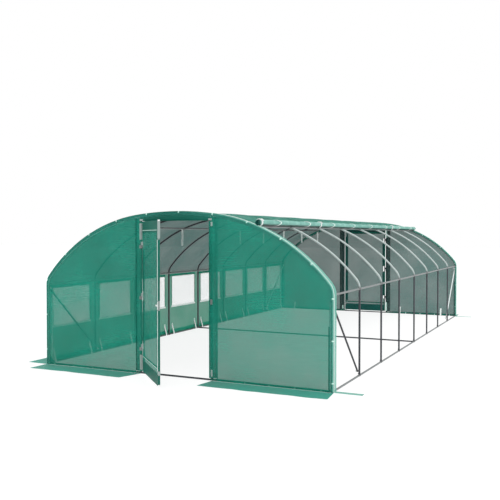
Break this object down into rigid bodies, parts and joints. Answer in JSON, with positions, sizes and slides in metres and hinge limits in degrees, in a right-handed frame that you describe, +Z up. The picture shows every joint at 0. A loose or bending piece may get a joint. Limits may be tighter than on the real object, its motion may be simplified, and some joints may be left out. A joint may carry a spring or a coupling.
{
  "type": "polytunnel greenhouse",
  "caption": "Long polytunnel greenhouse: steel hoops under a green woven cover, mesh windows in one wall, the other side rolled up, a hinged door in each end.",
  "frame": {"origin": "the middle of the base of the box round the whole tunnel, on the ground", "axes": "+X across the tunnel towards its rolled-up side, +Y along it from the front door to the rear door, +Z up"},
  "size_m": [4.6386, 9.0149, 2.0033],
  "materials": {
    "tube": "galvanised steel tube, dull zinc grey",
    "cover": "translucent green woven sheet with a fine reinforcing grid",
    "mesh": "fine pale insect mesh",
    "webbing": "white woven webbing",
    "fittings": "white moulded plastic"
  },
  "bodies": {
    "tunnel": {"front_hoop": "tube", "hoop_1": "tube", "hoop_2": "tube", "hoop_3": "tube", "hoop_4": "tube", "hoop_5": "tube", "hoop_6": "tube", "hoop_7": "tube", "rear_hoop": "tube", "ridge_tube": "tube", "left_purlin": "tube", "right_purlin": "tube", "left_eave_rail": "tube", "right_eave_rail": "tube", "left_base_rail": "tube", "right_base_rail": "tube", "ground_bars": "tube", "corner_braces": "tube", "front_doorway": "tube", "rear_doorway": "tube", "roof_cover": "cover", "left_wall": "cover", "window_mesh": "mesh", "window_flaps": "cover", "side_roll": "cover", "roll_ties": "webbing", "corner_strips": "cover", "front_wall": "cover", "rear_wall": "cover", "left_skirt": "cover", "front_skirts": "cover", "rear_skirts": "cover", "hanging_straps": "webbing", "wall_straps": "webbing", "front_hinge_posts": "tube", "rear_hinge_posts": "tube"},
    "front_door": {"front_door_frame": "tube", "front_door_sheet": "cover", "front_door_latch": "fittings"},
    "rear_door": {"rear_door_frame": "tube", "rear_door_sheet": "cover", "rear_door_latch": "fittings"}
  },
  "joints": [
    {"name": "front_door_hinge", "type": "hinge", "parent": "tunnel", "child": "front_door", "pos_m": [-0.4785, -3.85006, 0], "axis": [0, 0, -1], "range_deg": [-45, 90]},
    {"name": "rear_door_hinge", "type": "hinge", "parent": "tunnel", "child": "rear_door", "pos_m": [0.4785, 4.19614, 0], "axis": [0, 0, -1], "range_deg": [0, 135]}
  ]
}
